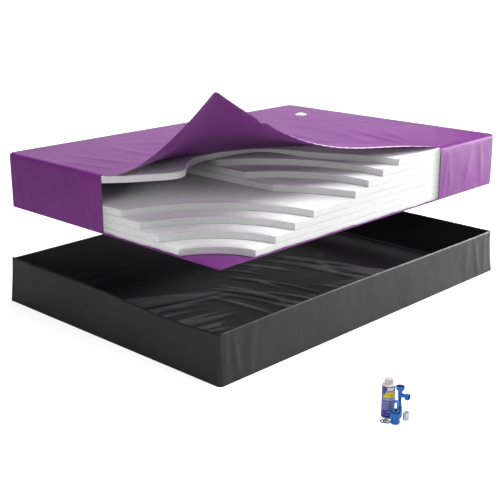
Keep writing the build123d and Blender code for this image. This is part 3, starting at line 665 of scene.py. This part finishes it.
def top_wave(x, y):
    """The last sheet sags a little over the space at the foot, and waves along its front."""
    sag = -0.006 * bell((x - 0.10) / 0.10) * bell((y + 0.72) / 0.16)
    return sag - 0.005 * bell((x - 0.30) / 0.09) * bell((y - 0.0) / 0.10)


def top_thin(x, y):
    """How far the underside of the last sheet lifts off the lumbar block beside its lobe."""
    return 0.016 * bell((x - 0.11) / 0.10) * bell((y + 0.14) / 0.16)


def top_shade(x, y):
    """Painted shade on the last sheet's front: light along its lobe at the foot and dark from the bay to the
    right.
    """
    return 0.35 + 0.65 * np.clip((y + 0.34) / 0.20, 0, 1) - 0.35 * np.clip((x - 0.60) / 0.10, 0, 1)


line = clip_to_bed(spline(TOP_EDGE))
z = FLOOR_1 + 7 * SHEET
# Painted shade on the last sheet's front, light along the lobe and dark to the right
top_sheet = slab(
    "fibre_8", line, (line[0][0], -SY), (SX, line[-1][1]), z + SOFT_GAP, TOP - FILM - 0.0008, top_wave, 8.0,
    back_round=EDGE - INSET, thin=top_thin, front_painted_shade=top_shade,
)
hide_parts("fibre_sheet_8")


# The liner


def liner_folds(x, y):
    """Creases in the liner's floor. One family fans out up the bed from its foot, from 66 to 90 degrees. The
    other runs across it, from the middle to the right, and slack ripples lie between them."""
    z = np.zeros_like(x)
    for _ in range(30):
        side = rng.uniform(0, 1)
        start = np.array([-0.52 + 1.12 * side, rng.uniform(-1.04, -0.86 - 0.10 * side)])
        way = math.radians(66 + 24 * side + rng.normal(0, 3))
        end = start + (0.95 - 0.55 * side) * rng.uniform(0.6, 1.0) * np.array([math.cos(way), math.sin(way)])
        z += ridge(
            x, y, start, end, rng.uniform(0.009, 0.017), rng.uniform(0.0040, 0.0085), rng.uniform(-0.02, 0.03)
        )
    for _ in range(30):
        start = rng.uniform((-0.40, -0.38), (0.28, 0.60))
        way = math.radians(14 + rng.normal(0, 6))
        end = start + rng.uniform(0.35, 0.80) * np.array([math.cos(way), math.sin(way)])
        z += ridge(
            x, y, start, end, rng.uniform(0.008, 0.015), rng.uniform(0.0040, 0.0085), rng.uniform(0.01, 0.06)
        )
    z *= 1 / (1 + np.exp(-(x + 0.58 + 0.15 * y) / 0.06))
    for _ in range(26):
        p = rng.uniform((-0.7, -1.0), (0.7, 1.0))
        d = rng.normal(0, 0.22, 2)
        z += ridge(
            x, y, p, p + d, rng.uniform(0.012, 0.03), rng.uniform(0.001, 0.0025), rng.uniform(-0.03, 0.03)
        )
    return z


x, y = rounded_area(LINER_X - 0.003, LINER_Y - 0.003, LINER_CORNER, 230, 320)
edge_gap = np.minimum(LINER_X - np.abs(x), LINER_Y - np.abs(y))
folds = liner_folds(x, y)
floor_z = 0.0022 + np.clip(folds, -0.0015, 0.020) * np.clip(edge_gap / 0.03, 0, 1)
floor_z += 0.012 * np.clip(1 - edge_gap / 0.02, 0, 1) ** 2
floor_points = np.stack([x, y, floor_z], -1)
liner_floor = grid("liner_floor_film", floor_points, FLOOR_FILM, "liner_and_kit", "liner_film")
# Painted light on the floor film: a zone towards the foot on the right and the part towards the head, and
# painted highlights along the fold crests
lit_zone = 0.22 * bell((x - 0.30) / 0.40) * bell((y + 0.62) / 0.30) + 0.3 * np.clip(y - 0.2, 0, 1)
painted_floor_light = np.clip(0.8 * np.clip((folds - 0.002) / 0.0045, 0, 1) ** 1.2 + lit_zone, 0, 1)
store(liner_floor, "crest", painted_floor_light)
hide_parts("liner_floor")
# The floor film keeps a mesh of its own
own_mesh(liner_floor)


def closed_rim(half_x, half_y, corner, step=0.010, turn=10):
    """Points, outward normals and lengths right round a rounded rectangle, from the middle of its foot
    side."""
    cx, cy = half_x - corner, half_y - corner
    points, normals = [], []
    sides = [
        ((0, -half_y), (cx, -half_y), (0, -1)), ((half_x, -cy), (half_x, cy), (1, 0)),
        ((cx, half_y), (-cx, half_y), (0, 1)), ((-half_x, cy), (-half_x, -cy), (-1, 0)),
        ((-cx, -half_y), (0, -half_y), (0, -1)),
    ]
    corners = [(cx, -cy, -90), (cx, cy, 0), (-cx, cy, 90), (-cx, -cy, 180)]
    for i, (a, b, normal) in enumerate(sides):
        n = max(2, int(math.hypot(b[0] - a[0], b[1] - a[1]) / step))
        for t in np.linspace(0, 1, n, endpoint=False):
            points.append((a[0] + t * (b[0] - a[0]), a[1] + t * (b[1] - a[1])))
            normals.append(normal)
        if i < 4:
            x0, y0, first = corners[i]
            for angle in np.radians(first + np.linspace(0, 90, turn, endpoint=False)):
                points.append((x0 + corner * math.cos(angle), y0 + corner * math.sin(angle)))
                normals.append((math.cos(angle), math.sin(angle)))
    points, normals = np.array(points), np.array(normals)
    length = np.r_[0, np.cumsum(np.linalg.norm(np.diff(points, axis=0), axis=1))]
    return points, normals, length


wall_xy, wall_n, wall_len = closed_rim(LINER_X, LINER_Y, LINER_CORNER)
foot = (wall_n[:, 1] < -0.9).astype(float)


def rim_sag(xy):
    """How far the rim hangs: the foot side dips near its right end, the others hardly."""
    dip = 0.020 * bell((xy[:, 0] - 0.42) / 0.22) * foot
    return dip + 0.003 * (1 + np.sin(3.1 * wall_len)) * (1 - foot)


def wall_creases(length, share):
    """Upright soft creases in the liner's walls, most of them beside the corners."""
    out = np.zeros_like(length)
    for at, width, height, tilt in [
        (0.80, 0.012, 0.0030, 0.02), (0.86, 0.012, 0.0034, -0.02), (0.95, 0.016, 0.0030, 0.03),
        (2.62, 0.02, 0.0030, 0.03), (2.72, 0.013, 0.0040, -0.03), (2.80, 0.012, 0.0040, 0.02),
        (2.95, 0.02, 0.0025, 0.02), (1.5, 0.06, 0.0020, 0.05), (2.1, 0.05, 0.0020, -0.05),
        (4.3, 0.02, 0.0030, 0.03), (4.45, 0.015, 0.0030, -0.03), (6.4, 0.02, 0.0030, 0.03),
        (6.52, 0.015, 0.003, -0.02), (5.3, 0.06, 0.0025, 0.05), (3.5, 0.06, 0.0020, 0.04),
        (0.35, 0.08, 0.0015, 0.05), (6.9, 0.07, 0.0018, 0.03),
    ]:
        out += height * bell((length - at - tilt * (share - 0.5)) / width)
    return out


rows = []
for share in np.linspace(0, 1, 22):
    z = 0.0005 + (LINER_H - rim_sag(wall_xy)) * share
    inward = LEAN * share + 0.004 * np.sin(math.pi * share)
    out = wall_creases(wall_len, share) * math.sin(math.pi * min(share * 0.9 + 0.05, 1)) - 0.0012
    rows.append(np.c_[wall_xy + wall_n * (out - inward)[:, None], z])
last = rows[-1]
for depth, drop in [(0.0012, -0.0006), (0.0028, 0.0002), (0.0034, 0.0030), (0.0030, 0.012)]:
    rows.append(np.c_[last[:, :2] - wall_n * depth, last[:, 2] - drop])
walls = grid(
    "liner_walls_film", np.array(rows), BLACK_FILM, "liner_and_kit", "liner_film", wrap_cols=True, flip=True
)
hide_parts("liner_wall_left", "liner_wall_right", "liner_wall_foot", "liner_wall_head")
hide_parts("liner_corner_foot_left", "liner_corner_foot_right")
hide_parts("liner_corner_head_left", "liner_corner_head_right")


# Finishes of the carried-over CAD nodes


def dress(mat, *names):
    """Gives carried-over CAD nodes a material."""
    for name in names:
        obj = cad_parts[name]
        obj.data.materials.clear()
        obj.data.materials.append(mat)


# Where the fill kit stands, as in the part's source
KIT_TURN = math.radians(43.68)
KIT_ROW = np.array([math.cos(KIT_TURN), math.sin(KIT_TURN), 0])
KIT_AWAY = np.array([-math.sin(KIT_TURN), math.cos(KIT_TURN), 0])
KIT_MIDDLE = np.array([LINER_X + 0.6794, -0.8034, 0])
BRANCH_TURN = KIT_TURN - math.radians(42)
BOTTLE_R = 0.0258
LABEL_LOW, LABEL_HIGH = 0.007, 0.135


def kit_place(across, away):
    return KIT_MIDDLE + across * KIT_ROW + away * KIT_AWAY


def maths(m, operation, a, b=None):
    """A Math node's output, for sockets or plain values."""
    n = m.node_tree.nodes.new("ShaderNodeMath")
    n.operation = operation
    for socket, value in zip(n.inputs, (a, b)):
        if value is None:
            continue
        if isinstance(value, (int, float)):
            socket.default_value = value
        else:
            link(m, value, socket)
    return n.outputs[0]


def between(m, value, low, high):
    """1 where the value lies between low and high, else 0."""
    return maths(m, "MULTIPLY", maths(m, "GREATER_THAN", value, low), maths(m, "LESS_THAN", value, high))


def along(m, centre, way):
    """How far a shaded point lies from centre along a level direction."""
    offset = node(m, "VectorMath", operation="SUBTRACT")
    link(m, node(m, "TexCoord").outputs["Object"], offset.inputs[0])
    offset.inputs[1].default_value = centre
    dot = node(m, "VectorMath", operation="DOT_PRODUCT")
    link(m, offset.outputs[0], dot.inputs[0])
    dot.inputs[1].default_value = way
    return dot.outputs["Value"]


LABEL = plastic("label_print", (0.040, 0.042, 0.320), (0.033, 0.035, 0.280), (0.22, 0.32))
bottle_at = kit_place(-0.0242, 0.026)
below_top = maths(LABEL, "SUBTRACT", LABEL_HIGH, along(LABEL, (0, 0, 0), (0, 0, 1)))
label_down = maths(LABEL, "DIVIDE", below_top, LABEL_HIGH - LABEL_LOW)
label_across = maths(LABEL, "DIVIDE", along(LABEL, bottle_at, KIT_ROW), BOTTLE_R)
faces = maths(LABEL, "LESS_THAN", along(LABEL, bottle_at, KIT_AWAY), 0.0)
# Blank printed bars: first and last share of the label's height, first and last share of its width, colour
for top, low, left, right, colour in [
    (0.025, 0.120, -0.31, 0.72, (0.72, 0.72, 0.78)), (0.145, 0.175, -0.55, 0.88, (0.75, 0.62, 0.02)),
    (0.190, 0.255, -0.60, 0.88, (0.78, 0.64, 0.02)), (0.272, 0.345, -0.84, 0.96, (0.78, 0.64, 0.02)),
    (0.370, 0.392, -0.92, 0.94, (0.55, 0.55, 0.66)), (0.408, 0.430, -0.92, 0.90, (0.55, 0.55, 0.66)),
    *[(v, v + 0.011, -0.90, 0.92, (0.34, 0.34, 0.52)) for v in (0.462, 0.490, 0.518, 0.546, 0.574, 0.602)],
    *[(v, v + 0.011, -0.90, 0.80, (0.34, 0.34, 0.52)) for v in (0.640, 0.668, 0.696, 0.724)],
    (0.795, 0.820, -0.25, 0.80, (0.50, 0.50, 0.62)), (0.900, 0.912, -0.45, 0.45, (0.34, 0.34, 0.52)),
]:
    bar = between(LABEL, label_down, top, low), between(LABEL, label_across, left, right)
    paint(LABEL, maths(LABEL, "MULTIPLY", maths(LABEL, "MULTIPLY", *bar), faces), colour)
dress(LABEL, "bottle_label")


def thread(name, foot, way, radius, reach, mat, slot, pitch=0.0022, crest=0.0007, steps=28):
    """A screw thread: a low ridge that winds round an axis from foot along way. Its section is a triangle
    whose foot lies just inside the cylinder, and it sinks into it over the first and last quarter turn."""
    way = np.array(way, float)
    side = np.cross(way, (0.3, 0.5, 0.81))
    side /= np.linalg.norm(side)
    other = np.cross(way, side)
    turns = reach / pitch - 1
    t = np.linspace(0, turns, int(turns * steps))
    fade = np.clip(np.minimum(t, turns - t) * 4, 0, 1)
    angle = 2 * math.pi * t
    out = np.cos(angle)[:, None] * side + np.sin(angle)[:, None] * other
    table = [
        foot + out * (radius + lift * fade)[:, None] + way * (pitch * (t + 0.5) + shift * pitch)[:, None]
        for lift, shift in [(-0.0003, -0.45), (crest, -0.08), (crest, 0.08), (-0.0003, 0.45)]
    ]
    grid(name, np.array(table), mat, "liner_and_kit", slot, wrap_rows=True)


adapter_at = kit_place(0.0446, 0.0035)
thread("adapter_thread_lower", adapter_at + (0, 0, 0.001), (0, 0, 1), 0.0126, 0.0125, WHITE, "adapter_white")
thread("adapter_thread_upper", adapter_at + (0, 0, 0.0172), (0, 0, 1), 0.0135, 0.0124, WHITE, "adapter_white")
branch_way = np.array([math.cos(BRANCH_TURN), math.sin(BRANCH_TURN), 0])
branch_at = kit_place(0.0203, 0.026) + (0, 0, 0.094) + branch_way * 0.0288
thread("branch_thread", branch_at, branch_way, 0.0135, 0.0102, BLUE, "blue_plastic")

dress(WHITE, "valve_neck", "valve_plug", "valve_cap", "thread_adapter")
dress(RUBBER, "valve_gasket", "pump_o_ring", "pump_tap_washer", "adapter_o_ring", "adapter_washer")
dress(RUBBER, "hose_washer_flat", "hose_washer_leaning")
dress(BLUE, "pump_body", "pump_jet", "pump_tap_nut", "pump_drain_collar")
dress(BLUE, "adapter_cage", "adapter_nut", "adapter_hose_collar")
dress(BOTTLE, "bottle_body")
dress(CREAM, "bottle_cap")
dress(FOIL, "bottle_seal")
dress(FOAM, "bottle_cap_disc")


# Camera, lights and floor

# The camera fitted to the photograph: place in metres, turn and tilt in degrees, lens in millimetres
CAMERA_AT, CAMERA_TURN, CAMERA_DOWN, LENS = (3.408, -3.665, 1.738), 43.68, 17.18, 71.45
camera = bpy.data.objects.new("camera", bpy.data.cameras.new("camera"))
bpy.context.collection.objects.link(camera)
camera.data.sensor_width = 36
camera.data.lens = LENS
camera.data.clip_end = 60
camera.location = CAMERA_AT
camera.rotation_euler = (math.radians(90 - CAMERA_DOWN), 0, math.radians(CAMERA_TURN))
bpy.context.scene.camera = camera


def area_light(name, where, at, size, power):
    """A white rectangular lamp that faces the point at."""
    light = bpy.data.lights.new(name, "AREA")
    light.shape = "RECTANGLE"
    light.size, light.size_y = size
    light.energy = power
    obj = bpy.data.objects.new(name, light)
    bpy.context.collection.objects.link(obj)
    obj.location = where
    d = np.array(at) - np.array(where)
    obj.rotation_euler = (math.atan2(math.hypot(d[0], d[1]), -d[2]), 0, math.atan2(d[1], d[0]) - math.pi / 2)


area_light("head_right", (3.0, 5.1, 1.35), (0.3, 0.2, 0.6), (3.2, 2.0), 360)
area_light("key", (5.0, 1.6, 3.9), (0.2, 0.0, 0.6), (3.0, 2.4), 90)
area_light("far_left", (-4.5, 3.7, 2.2), (-0.1, 0.0, 0.75), (6.0, 1.8), 45)
area_light("foot", (1.9, -5.9, 1.5), (0.0, -0.6, 0.55), (2.4, 1.2), 118)
area_light("over", (0.5, 0.8, 5.0), (0.0, 0.0, 0.5), (4.0, 4.0), 290)

world = bpy.data.worlds.new("studio")
bpy.context.scene.world = world
world.use_nodes = True
tree = world.node_tree
tree.nodes.clear()
path = tree.nodes.new("ShaderNodeLightPath")
seen = tree.nodes.new("ShaderNodeBackground")
seen.inputs["Color"].default_value = (1, 1, 1, 1)
lit = tree.nodes.new("ShaderNodeBackground")
lit.inputs["Color"].default_value = (1, 1, 1, 1)
lit.inputs["Strength"].default_value = 0.06
mix = tree.nodes.new("ShaderNodeMixShader")
out = tree.nodes.new("ShaderNodeOutputWorld")
tree.links.new(path.outputs["Is Camera Ray"], mix.inputs["Fac"])
tree.links.new(lit.outputs[0], mix.inputs[1])
tree.links.new(seen.outputs[0], mix.inputs[2])
tree.links.new(mix.outputs[0], out.inputs["Surface"])

bpy.ops.mesh.primitive_plane_add(size=60, location=(0, 0, -0.0005))
ground = bpy.context.object
ground.name = "studio_floor"
paper = material("studio_paper", (0.70, 0.70, 0.70), 0.9)
glow = shader_of(paper)
glow.inputs["Emission Color"].default_value = (1, 1, 1, 1)
ray = node(paper, "LightPath")
away = node(paper, "VectorMath", operation="LENGTH")
link(paper, node(paper, "TexCoord").outputs["Object"], away.inputs[0])
strength = node(paper, "MapRange", From_Min=1.4, From_Max=7.0, To_Min=0.76, To_Max=0.97)
link(paper, away.outputs["Value"], strength.inputs["Value"])
seen_only = maths(paper, "MULTIPLY", strength.outputs["Result"], ray.outputs["Is Camera Ray"])
link(paper, seen_only, glow.inputs["Emission Strength"])
ground.data.materials.append(paper)

scene = bpy.context.scene
scene.view_settings.view_transform = "Standard"
scene.view_settings.look = "None"
